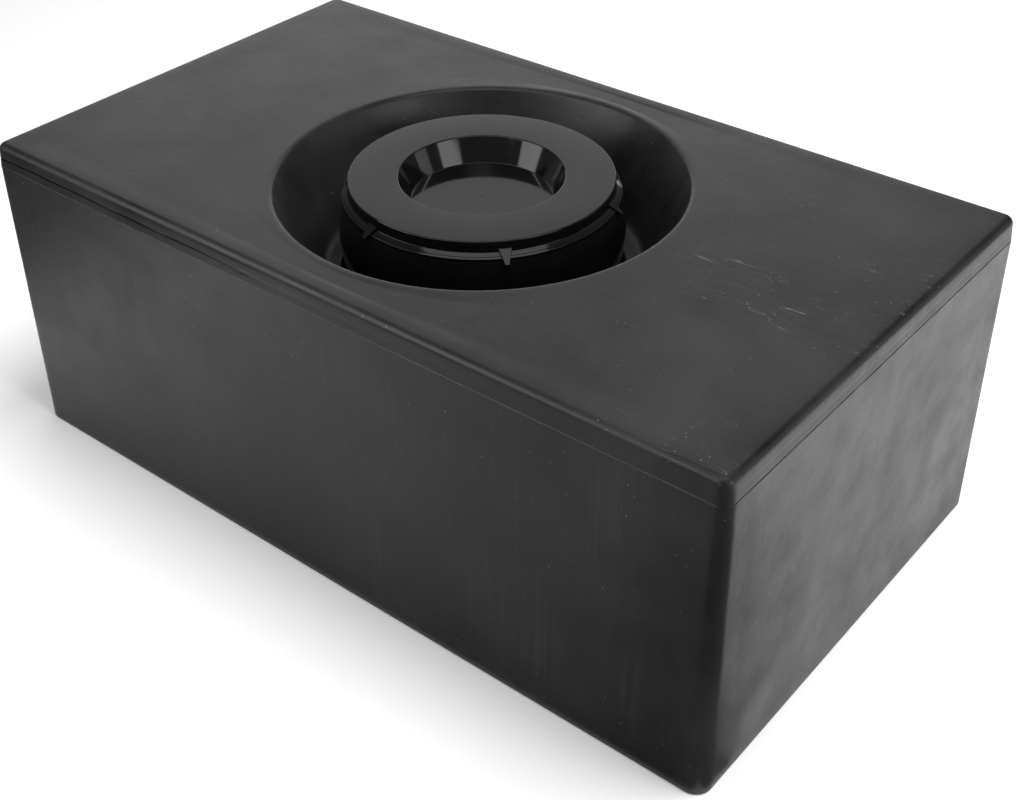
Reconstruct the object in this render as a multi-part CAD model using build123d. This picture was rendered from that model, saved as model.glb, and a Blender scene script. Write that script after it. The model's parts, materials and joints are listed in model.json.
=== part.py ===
"""Insulated livestock drinker: a moulded block with a round bowl and a ball float.

Millimetres, +Z up.  The origin is on the ground under the middle of the block,
X runs along its long side and Y along its short side.  The drinker is drawn dry,
with the ball float down on its rest ring.  Each function makes one sub-part.
"""
import os
from math import cos, degrees, radians, sin, sqrt

from build123d import *

# ---------------------------------------------------------------- block
BODY_LENGTH = 1000.0        # at the seam
BODY_WIDTH = 569.0          # at the seam
BODY_HEIGHT = 389.0
SEAM_DROP = 26.0            # deck surface down to the seam between deck and side walls
SIDE_DRAFT = 5.2            # each side leans out this far from the seam down to the ground
DECK_LEAN = 2.5             # each side of the deck leans in this far from the seam up
DECK_ROUND = 9.0            # rounding round the deck
CORNER_RADIUS = 14.0        # upright corners
BASE_RADIUS = 2.5           # rounding round the underside
WALL = 7.0                  # moulded wall thickness
SEAM_BEVEL = 0.8            # small bevel each side of the seam
LIP_DEPTH = 18.0            # locating lip of the deck inside the side walls
LIP_THICK = 5.0
LEDGE_REACH = 10.0          # ledge inside the side walls that the base pan is welded to
LEDGE_HEIGHT = 6.0
GAP = 0.3                   # assembly gap between separate pieces
SEAL_THICK = 1.8            # flat rubber seals of the inlet and the drain

SEAM_Z = BODY_HEIGHT - SEAM_DROP

# ---------------------------------------------------------------- bowl and well
RIM_RADIUS = 231.0          # bowl wall met by the deck plane
RIM_ROUND = 7.0
BOWL_FLOOR_RADIUS = 183.0
BOWL_DEPTH = 106.0          # deck down to the bowl's floor ring
BOWL_ROUND = 12.0
WELL_MOUTH_RADIUS = 161.0
WELL_FLOOR_RADIUS = 140.0
WELL_FLOOR_Z = 66.0
WELL_MOUTH_ROUND = 4.0
WELL_FLOOR_ROUND = 20.0

BOWL_FLOOR_Z = BODY_HEIGHT - BOWL_DEPTH
DECK_UNDER_Z = BODY_HEIGHT - WALL               # weld between deck and bowl
BOWL_UNDER_Z = BOWL_FLOOR_Z - WALL              # weld between bowl and float well
WELL_FLANGE_RADIUS = 180.0
WELL_FLANGE_THICK = 5.0
BOSS_OUTSIDE = 9.0                              # bosses under the well floor for the guide's screws
BOSS_HOLE = 5.0
BOSS_DEPTH = 22.0

# ---------------------------------------------------------------- service chamber under the well
CHAMBER_RADIUS = 110.0
PLATE_RADIUS = 127.5
PLATE_THICK = 4.5
PLATE_RING_WIDTH = 24.0     # thick ring that the plate screws into
PLATE_RING_HEIGHT = 20.0
PLATE_SCREW_CIRCLE = 121.0
PLATE_SCREWS = 6
PLUG_PLACES = [(-400, -190), (400, -190), (-400, 190), (400, 190)]
FILL_HOLE_RADIUS = 15.0
FILL_HEAD_RADIUS = 20.0
FILL_HEAD_TOP_Z = 2.7
FILL_PLUG_TOP_Z = WALL + 8
INSERT_HOLE_RADIUS = 4.5    # blind holes for the brass inserts of the plate screws
INSERT_HOLE_TOP_Z = 16.5
CHAMBER_TOP_Z = WELL_FLOOR_Z - WALL - GAP

# ---------------------------------------------------------------- ball float
BALL_RADIUS = 161.0
BALL_CENTRE_Z = BODY_HEIGHT - 58.0
BALL_WALL = 3.5
FLOAT_TRAVEL = 30.0         # from the rest ring up to the full water level
LID_TOP_Z = BODY_HEIGHT + 4.4
LID_RADIUS = 148.1
LID_WALL = 3.2
SKIRT_RADIUS = 148.6
SKIRT_FOOT_Z = BODY_HEIGHT - 8.0
FLANGE_RADIUS = 155.3
FLANGE_EDGE_Z = BODY_HEIGHT - 12.4
FLANGE_FOOT_Z = BODY_HEIGHT - 14.0
FLANGE_EDGE_ROUND = 0.5
LID_EDGE_ROUND = 1.6
DISH_RIM_RADIUS = 92.5
DISH_RIM_ROUND = 2.2
DISH_FLOOR_RADIUS = 79.5
DISH_FLOOR_Z = BODY_HEIGHT - 24.0
DISH_FLOOR_ROUND = 1.2
SEAL_GROOVE = (146.0, 150.0)    # radii of the groove under the flange
SEAL_GROOVE_DEPTH = 2.4
LUGS = 6
LUG_START_ANGLE = 19.0
LUG_ROOT_WIDTH = 15.0
LUG_TIP_WIDTH = 4.5
LUG_TIP_RADIUS = 162.0
SHELL_TOP_Z = FLANGE_FOOT_Z - 1.0
MOUTH_THICK = 5.0           # ring inside the shell's mouth that the lid locks under
MOUTH_RADIUS = 136.0
SPIGOT_RADIUS = 134.0
SPIGOT_WALL = 3.0
HOOK_RADIUS = 141.0
HOOK_ANGLE = 15.0
NOTCH_ANGLE = 19.0
HOOKS = 3
LID_TURN = 30.0             # lid turns this far before it lifts off
BALLAST_TOP_Z = 205.0
BOSS_RADIUS = 15.0

# ---------------------------------------------------------------- float stem, guide and rest
STEM_RADIUS = 5.0
STEM_TOP_Z = 226.0
NUT_FLATS = 17.0
NUT_HEIGHT = 8.0
WASHER_RADIUS = 10.0
WASHER_THICK = 1.5
FIT = 0.05                  # radial clearance of a sliding fit
HUB_RADIUS = 14.0
HUB_Z = (144.0, 158.0)
BUSH_WALL = 3.0
REST_RADII = (65.0, 79.0)
REST_HEIGHT = 6.0
SPIDER_LEGS = 3
SPIDER_START_ANGLE = 90.0
FOOT_SCREW_RADIUS = 90.0
FOOT_THICK = 6.0

# ---------------------------------------------------------------- valve
LEVER_ARM = 60.0            # pivot to the stem
NOSE_ARM = 12.0             # pivot to the plunger
PIVOT_Z = 115.0
PIN_RADIUS = 2.5
LEVER_THICK = 6.0
LEVER_HALF_WIDTH = 4.0
NOSE_RADIUS = 3.0
SLOT_SPARE = 1.8            # slot length past the clevis pin's travel at each end
SLOT_END_WALL = 6.5
VALVE_RADIUS = 13.0
VALVE_BORE = 8.5
VALVE_TOP_Z = 109.0
NOZZLE_TOP_Z = 94.0
PLUNGER_RADIUS = 8.3
PLUNGER_TIP_RADIUS = 4.2
INLET_SHANK_RADIUS = 12.0   # M24 outside thread, clamped through the well floor
INLET_THREAD_RADIUS = 9.32  # G1/2 inside thread for the supply pipe, hole radius
INLET_THREAD_DEPTH = 18.0
INLET_SPIGOT_RADIUS = 8.3   # G3/8 outside thread that the valve body screws on
INLET_BORE = 5.5
STRAINER_BORE = 7.3
STRAINER_HEIGHT = 16.0
INLET_BOTTOM_Z = 28.0

PIVOT_X = LEVER_ARM
VALVE_X = LEVER_ARM + NOSE_ARM
LEVER_TILT = FLOAT_TRAVEL / LEVER_ARM / 2           # radians, each side of level
PIN_REST_Z = PIVOT_Z - FLOAT_TRAVEL / 2             # clevis pin with the float down
PLUNGER_TRAVEL = LEVER_TILT * 2 * NOSE_ARM

# ---------------------------------------------------------------- drain
DRAIN_X = -78.0
DRAIN_BORE = 16.0
DRAIN_WALL = 3.0
DRAIN_FLANGE_RADIUS = 26.0
DRAIN_FLANGE_THICK = 4.0
DRAIN_BOTTOM_Z = 30.0


# ================================================================ helpers
def turned(points):
    """Solid of revolution about Z from (radius, height) corners."""
    return revolve(make_face(Plane.XZ * Polyline(*points, close=True)), Axis.Z)


def rounded_corners(face, rounds):
    """Face with its corners rounded, from (radius, height, rounding) of each corner."""
    for x, y, rounding in rounds:
        corner = face.vertices().sort_by_distance((x, y, 0))[0]
        face = fillet(corner, rounding)
    return face


def disc(radius, low, high, x=0.0, y=0.0):
    """Upright cylinder between two heights."""
    return Pos(x, y, low) * Cylinder(radius, high - low, align=(Align.CENTER, Align.CENTER, Align.MIN))


def tube(outer, inner, low, high, x=0.0, y=0.0):
    """Upright tube between two heights."""
    return disc(outer, low, high, x, y) - disc(inner, low - 1, high + 1, x, y)


def block(x_range, y_range, z_range):
    """Box between three pairs of limits."""
    size = [high - low for low, high in (x_range, y_range, z_range)]
    middle = [(high + low) / 2 for low, high in (x_range, y_range, z_range)]
    return Pos(*middle) * Box(*size)


def tapered_block(low, high, low_grow, high_grow):
    """Block of the body's outline between two heights, grown by an amount at each of them."""
    ends = []
    for z, grow in ((low, low_grow), (high, high_grow)):
        radius = max(CORNER_RADIUS + grow, 2.0)
        outline = RectangleRounded(BODY_LENGTH + 2 * grow, BODY_WIDTH + 2 * grow, radius)
        ends.append(Pos(0, 0, z) * outline)
    return loft(ends, ruled=True)


def inside_walls(low, high, inset):
    """Block that keeps an inset from the outside of the leaning side walls."""
    return tapered_block(low, high, side_grow(low) - inset, side_grow(high) - inset)


def side_grow(z):
    """How far the side walls stand outside the seam's outline at a height."""
    return SIDE_DRAFT * (1 - z / SEAM_Z)


def around(count, start, piece):
    """Copies of a piece turned about Z at equal angles."""
    return [Rot(0, 0, start + 360 * index / count) * piece for index in range(count)]


def hexagon(flats, low, high, bore, x=0.0, y=0.0):
    """Hexagonal nut or head with lightly turned-down corners and a bore."""
    corner = flats / sqrt(3)
    prism = extrude(Pos(x, y, low) * RegularPolygon(corner, 6), high - low)
    chamfer_cone = Pos(x, y, 0) * turned([
        (0, low), (corner - 0.6, low), (corner + 0.4, low + 0.7), (corner + 0.4, high - 0.7),
        (corner - 0.6, high), (0, high)])
    return (prism & chamfer_cone) - disc(bore, low - 1, high + 1, x, y)


def ball_height(radius, ball=BALL_RADIUS):
    """Half height of the ball's surface above or below its centre at a radius."""
    return sqrt(ball ** 2 - radius ** 2)


def pan_screw(radius, length, head_radius, head_height, x, y, z, up=True):
    """Pan-head screw whose head sits on z; up means the head is above its shank."""
    head = turned([(0, 0), (head_radius, 0), (head_radius, head_height * 0.6),
                   (head_radius * 0.7, head_height), (0, head_height)])
    shank = disc(radius, -length, 0.0)
    socket = extrude(Pos(0, 0, head_height - 1.6) * RegularPolygon(radius * 0.7, 6), 2)
    screw = (head + shank) - socket
    if not up:
        screw = Rot(180, 0, 0) * screw
    return Pos(x, y, z) * screw


def write(name, shape):
    """Write one sub-part; a list becomes one file with separate solids."""
    pieces = shape if isinstance(shape, list) else [shape]
    solids = [solid for piece in pieces for solid in piece.solids()]
    whole = solids[0] if len(solids) == 1 else Compound(children=solids)
    export_step(whole, f"parts/{name}.step")


# ================================================================ body mouldings
def bowl_void(grow=0.0):
    """Space inside the bowl and well, or the same space grown by a thickness."""
    top = BODY_HEIGHT + 30
    far = RIM_RADIUS + 30
    outline = Polyline(
        (0, WELL_FLOOR_Z), (WELL_FLOOR_RADIUS, WELL_FLOOR_Z), (WELL_MOUTH_RADIUS, BOWL_FLOOR_Z),
        (BOWL_FLOOR_RADIUS, BOWL_FLOOR_Z), (RIM_RADIUS, BODY_HEIGHT), (far, BODY_HEIGHT),
        (far, top), (0, top), close=True)
    face = make_face(outline)
    rounds = [
        (WELL_FLOOR_RADIUS, WELL_FLOOR_Z, WELL_FLOOR_ROUND),
        (WELL_MOUTH_RADIUS, BOWL_FLOOR_Z, WELL_MOUTH_ROUND),
        (BOWL_FLOOR_RADIUS, BOWL_FLOOR_Z, BOWL_ROUND),
        (RIM_RADIUS, BODY_HEIGHT, RIM_ROUND),
    ]
    face = rounded_corners(face, rounds)
    if grow:
        both_halves = face + mirror(face, Plane.YZ)
        grown = offset(both_halves, grow, kind=Kind.INTERSECTION)
        face = grown & (Pos(far * 2, 0) * Rectangle(far * 4, top * 3))
    return revolve(Plane.XZ * face, Axis.Z)


def band(solid, low, high):
    """The part of a solid between two heights."""
    return solid & block((-600, 600), (-400, 400), (low, high))


def deck():
    """Deck plate with its rounded edge, the bowl's rim and the lip that enters the side walls."""
    bevel_z = SEAM_Z + SEAM_BEVEL
    part = tapered_block(bevel_z, BODY_HEIGHT, 0, -DECK_LEAN)
    part = fillet(part.faces().sort_by(Axis.Z)[-1].edges(), DECK_ROUND)
    part += tapered_block(SEAM_Z, bevel_z, -SEAM_BEVEL, 0)
    part -= tapered_block(SEAM_Z - 1, DECK_UNDER_Z, -WALL, -WALL - DECK_LEAN)
    lip_inset = WALL + GAP
    lip = tapered_block(SEAM_Z - LIP_DEPTH, SEAM_Z, -lip_inset, -lip_inset)
    lip += tapered_block(SEAM_Z, SEAM_Z + WALL, 1 - WALL, 1 - WALL)
    inner = -lip_inset - LIP_THICK
    part += lip - tapered_block(SEAM_Z - LIP_DEPTH - 1, SEAM_Z + WALL + 1, inner, inner)
    return part - bowl_void()


def bowl():
    """Tapering bowl and its floor ring, welded under the deck."""
    return band(bowl_void(WALL), BOWL_UNDER_Z, DECK_UNDER_Z) - bowl_void()


def float_well():
    """Deep cup that the ball float moves in, welded under the bowl's floor ring."""
    part = band(bowl_void(WALL), 0, BOWL_UNDER_Z)
    part += disc(WELL_FLANGE_RADIUS, BOWL_UNDER_Z - WELL_FLANGE_THICK, BOWL_UNDER_Z)
    boss = disc(BOSS_OUTSIDE, WELL_FLOOR_Z - BOSS_DEPTH, WELL_FLOOR_Z - 1, FOOT_SCREW_RADIUS)
    for copy in around(SPIDER_LEGS, SPIDER_START_ANGLE, boss):
        part += copy
    part -= bowl_void()
    hole = disc(BOSS_HOLE, WELL_FLOOR_Z - BOSS_DEPTH + 4, WELL_FLOOR_Z + 1, FOOT_SCREW_RADIUS)
    for copy in around(SPIDER_LEGS, SPIDER_START_ANGLE, hole):
        part -= copy
    part -= disc(INLET_SHANK_RADIUS + GAP, 0, WELL_FLOOR_Z + 1, VALVE_X)
    return part - disc(DRAIN_BORE + DRAIN_WALL + GAP, 0, WELL_FLOOR_Z + 1, DRAIN_X)


def side_walls():
    """Four walls in one moulding, open below and above, with a ledge for the base pan."""
    bevel_z = SEAM_Z - SEAM_BEVEL
    part = tapered_block(0, bevel_z, side_grow(0), side_grow(bevel_z))
    part = fillet(part.faces().sort_by(Axis.Z)[0].edges(), BASE_RADIUS)
    part += tapered_block(bevel_z, SEAM_Z, side_grow(bevel_z), -SEAM_BEVEL)
    ledge_low = WALL + GAP
    ledge_high = ledge_low + LEDGE_HEIGHT
    part -= inside_walls(-1, ledge_low, WALL)
    part -= inside_walls(ledge_low - 1, ledge_high + 1, WALL + LEDGE_REACH)
    return part - inside_walls(ledge_high, SEAM_Z + 1, WALL)


def base_pan():
    """Floor of the block, with a round service chamber in the middle."""
    part = inside_walls(0, WALL, WALL + GAP)
    part += disc(CHAMBER_RADIUS + WALL, 0, CHAMBER_TOP_Z)
    part += disc(CHAMBER_RADIUS + PLATE_RING_WIDTH, 0, PLATE_RING_HEIGHT)
    part -= disc(CHAMBER_RADIUS, -1, CHAMBER_TOP_Z + 1)
    part -= disc(PLATE_RADIUS + GAP, -1, PLATE_THICK + 0.5)
    insert_hole = disc(INSERT_HOLE_RADIUS, 0, INSERT_HOLE_TOP_Z, PLATE_SCREW_CIRCLE)
    for copy in around(PLATE_SCREWS, 0, insert_hole):
        part -= copy
    for x, y in PLUG_PLACES:
        part -= disc(FILL_HOLE_RADIUS + GAP, -1, WALL + 1, x, y)
        part -= disc(FILL_HEAD_RADIUS + GAP, -1, FILL_HEAD_TOP_Z + GAP, x, y)
    return part


def foam_core():
    """Insulating foam that fills the block round the bowl, well and chamber."""
    ledge_top = WALL + GAP + LEDGE_HEIGHT + GAP
    lip_low = SEAM_Z - LIP_DEPTH - GAP
    lip_inset = WALL + GAP + LIP_THICK + GAP
    part = inside_walls(WALL + GAP, ledge_top + 1, WALL + LEDGE_REACH + GAP)
    part += inside_walls(ledge_top, lip_low, WALL + GAP)
    part += tapered_block(lip_low - 1, DECK_UNDER_Z - GAP, -lip_inset, -lip_inset - DECK_LEAN)
    part -= bowl_void(WALL + GAP)
    flange_low = BOWL_UNDER_Z - WELL_FLANGE_THICK - GAP
    part -= disc(WELL_FLANGE_RADIUS + GAP, flange_low, BOWL_UNDER_Z + GAP)
    part -= disc(CHAMBER_RADIUS + WALL + GAP, 0, WELL_FLOOR_Z)
    part -= disc(CHAMBER_RADIUS + PLATE_RING_WIDTH + GAP, 0, PLATE_RING_HEIGHT + GAP)
    for x, y in PLUG_PLACES:
        part -= disc(FILL_HOLE_RADIUS + GAP, 0, FILL_PLUG_TOP_Z + 0.5, x, y)
    return part


def foam_fill_plugs():
    """Plugs in the holes that the foam was poured through."""
    profile = [(0, 0.5), (FILL_HEAD_RADIUS, 0.5), (FILL_HEAD_RADIUS, FILL_HEAD_TOP_Z),
               (FILL_HOLE_RADIUS, FILL_HEAD_TOP_Z), (FILL_HOLE_RADIUS, FILL_PLUG_TOP_Z - 4),
               (FILL_HOLE_RADIUS - 2, FILL_PLUG_TOP_Z), (0, FILL_PLUG_TOP_Z)]
    finger_recess = turned([(0, 0), (9, 0), (8, 2), (0, 2)])
    plug = turned(profile) - finger_recess
    return [Pos(x, y, 0) * plug for x, y in PLUG_PLACES]


# ================================================================ service plate
def service_plate():
    """Round plate that closes the chamber, with holes for the supply pipe and the drain."""
    part = disc(PLATE_RADIUS, 0.5, PLATE_THICK)
    part -= disc(17, 0, PLATE_THICK + 1, VALVE_X)
    part -= disc(24, 0, PLATE_THICK + 1, DRAIN_X)
    screw_hole = disc(2.7, 0, PLATE_THICK + 1, PLATE_SCREW_CIRCLE)
    head_space = disc(5.2, -1, 2.4, PLATE_SCREW_CIRCLE)
    for copy in around(PLATE_SCREWS, 0, screw_hole + head_space):
        part -= copy
    for y in (-45, 0, 45):
        rib_reach = 70 if y else 40
        part += block((-rib_reach, rib_reach), (y - 2, y + 2), (PLATE_THICK, PLATE_THICK + 8))
    return part


def plate_screws():
    """Screws of the service plate, heads sunk into its underside."""
    screw = pan_screw(2.5, 12, 4.8, 1.7, PLATE_SCREW_CIRCLE, 0, 2.4, up=False)
    return around(PLATE_SCREWS, 0, screw)


def plate_inserts():
    """Brass threaded inserts moulded into the tub for the plate screws."""
    insert = tube(4.3, 2.6, PLATE_THICK + 0.8, 16, PLATE_SCREW_CIRCLE)
    return around(PLATE_SCREWS, 0, insert)


def pipe_grommet():
    """Rubber grommet where the supply pipe passes the service plate."""
    profile = [(12, 0.6), (16.7, 0.6), (16.7, PLATE_THICK + 0.3), (20, PLATE_THICK + 0.3),
               (20, PLATE_THICK + 3), (13, PLATE_THICK + 4), (12, PLATE_THICK + 2)]
    return Pos(VALVE_X, 0, 0) * turned(profile)


# ================================================================ water inlet and valve
def inlet_fitting():
    """Brass fitting through the well floor, with an inside thread below for the supply pipe."""
    collar_low = WELL_FLOOR_Z + SEAL_THICK
    thread_top = INLET_BOTTOM_Z + INLET_THREAD_DEPTH
    part = disc(INLET_SHANK_RADIUS, INLET_BOTTOM_Z, collar_low + 1, VALVE_X)
    part += hexagon(30, collar_low, collar_low + 4, 1, VALVE_X)
    part += disc(INLET_SPIGOT_RADIUS, collar_low, WELL_FLOOR_Z + 12, VALVE_X)
    part -= disc(INLET_BORE, INLET_BOTTOM_Z - 1, WELL_FLOOR_Z + 13, VALVE_X)
    part -= disc(STRAINER_BORE, INLET_BOTTOM_Z, thread_top + STRAINER_HEIGHT, VALVE_X)
    return part - disc(INLET_THREAD_RADIUS, INLET_BOTTOM_Z - 1, thread_top, VALVE_X)


def inlet_nut():
    """Nut that pulls the inlet fitting down onto the well floor."""
    top = WELL_FLOOR_Z - WALL - SEAL_THICK
    return hexagon(30, top - 7, top, INLET_SHANK_RADIUS, VALVE_X)


def inlet_washers():
    """Rubber washers above and below the well floor."""
    bore = INLET_SHANK_RADIUS + 0.2
    above = tube(16, bore, WELL_FLOOR_Z, WELL_FLOOR_Z + SEAL_THICK, VALVE_X)
    below = tube(16, bore, WELL_FLOOR_Z - WALL - SEAL_THICK, WELL_FLOOR_Z - WALL, VALVE_X)
    return [above, below]


def inlet_strainer():
    """Perforated cup that keeps grit out of the nozzle."""
    radius = STRAINER_BORE - 0.2
    low = INLET_BOTTOM_Z + INLET_THREAD_DEPTH
    high = low + STRAINER_HEIGHT - 0.2
    part = disc(radius, low, high, VALVE_X) - disc(radius - 1, low - 1, high - 1, VALVE_X)
    for level in range(3):
        slot = block((-20, 20), (-0.8, 0.8), (low + 2.5 + 4 * level, low + 5 + 4 * level))
        for turn in range(3):
            part -= Pos(VALVE_X, 0, 0) * Rot(0, 0, 60 * turn + 30) * slot
    return part - disc(3.5, high - 2, high + 1, VALVE_X)


def valve_body():
    """Upright valve body with side windows and two ears for the lever's pivot."""
    low = WELL_FLOOR_Z + 6.2
    part = disc(VALVE_RADIUS, low, VALVE_TOP_Z, VALVE_X)
    ear = block((PIVOT_X - 6, PIVOT_X + 8), (3.6, 7.8), (VALVE_TOP_Z - 12, PIVOT_Z))
    ear += Pos(PIVOT_X, 5.7, PIVOT_Z) * Rot(90, 0, 0) * Cylinder(6, 4.2)
    part += ear
    part += mirror(ear, Plane.XZ)
    part -= disc(VALVE_BORE, NOZZLE_TOP_Z - 10, VALVE_TOP_Z + 20, VALVE_X)
    part -= disc(INLET_SPIGOT_RADIUS, low - 1, NOZZLE_TOP_Z - 14, VALVE_X)
    part -= disc(5, low, NOZZLE_TOP_Z - 5, VALVE_X)
    window = block((-20, 20), (-4, 4), (NOZZLE_TOP_Z - 2, NOZZLE_TOP_Z + 5))
    part -= Pos(VALVE_X, 0, 0) * Rot(0, 0, 90) * window
    part -= Pos(PIVOT_X, 0, PIVOT_Z) * Rot(90, 0, 0) * Cylinder(PIN_RADIUS, 40)
    return part


def valve_nozzle():
    """Nozzle pressed into the body; the rubber seal closes on its raised lip."""
    low = NOZZLE_TOP_Z - 10
    profile = [(3, low), (VALVE_BORE, low), (VALVE_BORE, NOZZLE_TOP_Z - 4), (5.2, NOZZLE_TOP_Z - 3),
               (4.4, NOZZLE_TOP_Z), (3.2, NOZZLE_TOP_Z), (3, NOZZLE_TOP_Z - 1)]
    return Pos(VALVE_X, 0, 0) * turned(profile)


def plunger_seal_z():
    """Underside of the seal with the valve fully open."""
    return NOZZLE_TOP_Z + PLUNGER_TRAVEL + 0.2


def valve_plunger():
    """Plunger that the lever's nose presses down."""
    low = plunger_seal_z() + 1.2
    shoulder = low + 6.4
    part = disc(PLUNGER_RADIUS, low, shoulder, VALVE_X)
    part += disc(PLUNGER_TIP_RADIUS, shoulder - 1, PIVOT_Z - 0.4, VALVE_X)
    part -= disc(5.6, low - 1, low + 2.4, VALVE_X)
    groove = tube(PLUNGER_RADIUS + 1, PLUNGER_RADIUS - 0.8, low + 3.2, low + 4.8, VALVE_X)
    return part - groove


def valve_seal():
    """Rubber disc held in the underside of the plunger."""
    low = plunger_seal_z()
    return disc(5.6, low, low + 3.6, VALVE_X)


def lever_at(shape, tilt):
    """Turn a shape drawn on a level lever about the pivot by a tilt in degrees."""
    return Pos(PIVOT_X, 0, PIVOT_Z) * Rot(0, tilt, 0) * shape


def valve_lever():
    """Lever from the float stem to the plunger, drawn with the float down."""
    half = LEVER_THICK / 2
    slot_near = LEVER_ARM - SLOT_SPARE
    slot_far = LEVER_ARM / cos(LEVER_TILT) + SLOT_SPARE
    end = slot_far + SLOT_END_WALL
    slot_half = PIN_RADIUS + 0.6
    bar = block((-end, NOSE_ARM), (-half, half), (-LEVER_HALF_WIDTH, LEVER_HALF_WIDTH))
    eye = Rot(90, 0, 0) * Cylinder(5, LEVER_THICK)
    nose_bar = block((0, NOSE_ARM), (-half, half), (-NOSE_RADIUS / 2, NOSE_RADIUS))
    nose = Pos(NOSE_ARM, 0, 0) * Rot(90, 0, 0) * Cylinder(NOSE_RADIUS, LEVER_THICK)
    head = block((-end, -slot_near + 5), (-half, half), (-slot_half - 2.2, slot_half + 2.2))
    bar -= block((-1, NOSE_ARM + 1), (-half - 1, half + 1), (-10, 10))
    slot = block((-slot_far, -slot_near), (-10, 10), (-slot_half, slot_half))
    for reach in (slot_near, slot_far):
        slot += Pos(-reach, 0, 0) * Rot(90, 0, 0) * Cylinder(slot_half, 20)
    part = bar + eye + nose_bar + nose + head - slot
    part -= Rot(90, 0, 0) * Cylinder(PIN_RADIUS + FIT, 20)
    return lever_at(part, -degrees(LEVER_TILT))


def lever_pin():
    """Pivot pin of the lever, fixed in the valve body's ears."""
    return Pos(PIVOT_X, 0, PIVOT_Z) * Rot(90, 0, 0) * Cylinder(PIN_RADIUS, 18)


# ================================================================ float guide
def guide_spider():
    """Three-legged frame: feet on the well floor, rest ring at the top, guide hub in the middle."""
    ring_top = rest_ring_top() - REST_HEIGHT
    part = tube(REST_RADII[1] + 1, REST_RADII[0] - 1, ring_top - 8, ring_top)
    hub = disc(HUB_RADIUS, *HUB_Z)
    leg = block((REST_RADII[0] + 2, REST_RADII[1] - 2), (-6, 6), (WELL_FLOOR_Z, ring_top - 1))
    arm = block((0, REST_RADII[1] - 2), (-4, 4), (HUB_Z[0], HUB_Z[1] - 2))
    foot_top = WELL_FLOOR_Z + FOOT_THICK
    foot = block((REST_RADII[0] + 2, FOOT_SCREW_RADIUS), (-11, 11), (WELL_FLOOR_Z, foot_top))
    foot += disc(11, WELL_FLOOR_Z, foot_top, FOOT_SCREW_RADIUS)
    brace_top = WELL_FLOOR_Z + FOOT_THICK + 22
    brace = Plane.XZ * Polyline((REST_RADII[1] - 4, brace_top), (REST_RADII[1] - 4, WELL_FLOOR_Z + 2),
                                (FOOT_SCREW_RADIUS - 6, WELL_FLOOR_Z + 2), close=True)
    foot += extrude(make_face(brace), 2, both=True)
    for copy in around(SPIDER_LEGS, SPIDER_START_ANGLE, leg + arm + foot):
        part += copy
    part += hub
    part -= disc(STEM_RADIUS + BUSH_WALL, HUB_Z[0] - 1, HUB_Z[1] + 1)
    screw_hole = disc(3.4, WELL_FLOOR_Z - 1, WELL_FLOOR_Z + FOOT_THICK + 1, FOOT_SCREW_RADIUS)
    for copy in around(SPIDER_LEGS, SPIDER_START_ANGLE, screw_hole):
        part -= copy
    return part


def rest_ring_top():
    """Height at which the rest ring just misses the ball."""
    return BALL_CENTRE_Z - ball_height(REST_RADII[0]) - GAP


def guide_bush():
    """Plain bush that the stem slides in."""
    return tube(STEM_RADIUS + BUSH_WALL, STEM_RADIUS + FIT, *HUB_Z)


def rest_ring():
    """Rubber ring that the ball float sits down on when the drinker is dry."""
    top = rest_ring_top()
    return tube(*reversed(REST_RADII), top - REST_HEIGHT, top)


def spider_screws():
    """Screws that hold the guide frame's feet."""
    screw = pan_screw(2.9, 14, 5.5, 4, FOOT_SCREW_RADIUS, 0, WELL_FLOOR_Z + FOOT_THICK)
    return around(SPIDER_LEGS, SPIDER_START_ANGLE, screw)


def spider_inserts():
    """Brass threaded inserts in the well floor's bosses."""
    insert = tube(4.8, 3.0, WELL_FLOOR_Z - 14, WELL_FLOOR_Z - 0.5, FOOT_SCREW_RADIUS)
    return around(SPIDER_LEGS, SPIDER_START_ANGLE, insert)


# ================================================================ ball float
def float_shell():
    """Hollow ball, cut off level at the top, with a ledge that the lid locks under."""
    outside = Pos(0, 0, BALL_CENTRE_Z) * Sphere(BALL_RADIUS)
    inside = Pos(0, 0, BALL_CENTRE_Z) * Sphere(BALL_RADIUS - BALL_WALL)
    keep = block((-200, 200), (-200, 200), (ball_foot_z(), SHELL_TOP_Z))
    ledge = disc(BALL_RADIUS, SHELL_TOP_Z - MOUTH_THICK, SHELL_TOP_Z) & outside
    part = ((outside - inside) & keep) + ledge
    part += disc(BOSS_RADIUS, ball_foot_z(), ball_foot_z() + 9)
    part -= disc(MOUTH_RADIUS, SHELL_TOP_Z - MOUTH_THICK - 1, SHELL_TOP_Z + 1)
    notch = sector(HOOK_RADIUS + 1.5, NOTCH_ANGLE, SHELL_TOP_Z - MOUTH_THICK - 1, SHELL_TOP_Z + 1)
    for copy in around(HOOKS, LID_TURN, notch):
        part -= copy
    part -= disc(STEM_RADIUS + FIT, 0, BALL_CENTRE_Z)
    return part


def ball_foot_z():
    """Height of the small flat under the ball that the stem nut clamps to."""
    return BALL_CENTRE_Z - ball_height(BOSS_RADIUS)


def sector(radius, angle, low, high):
    """Wedge of a disc centred on +X."""
    reach = radius / cos(radians(angle / 2))
    side = reach * sin(radians(angle / 2))
    wedge = Polyline((0, 0), (radius, -side), (radius, side), close=True)
    return extrude(Pos(0, 0, low) * make_face(wedge), high - low) & disc(radius, low, high)


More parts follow.
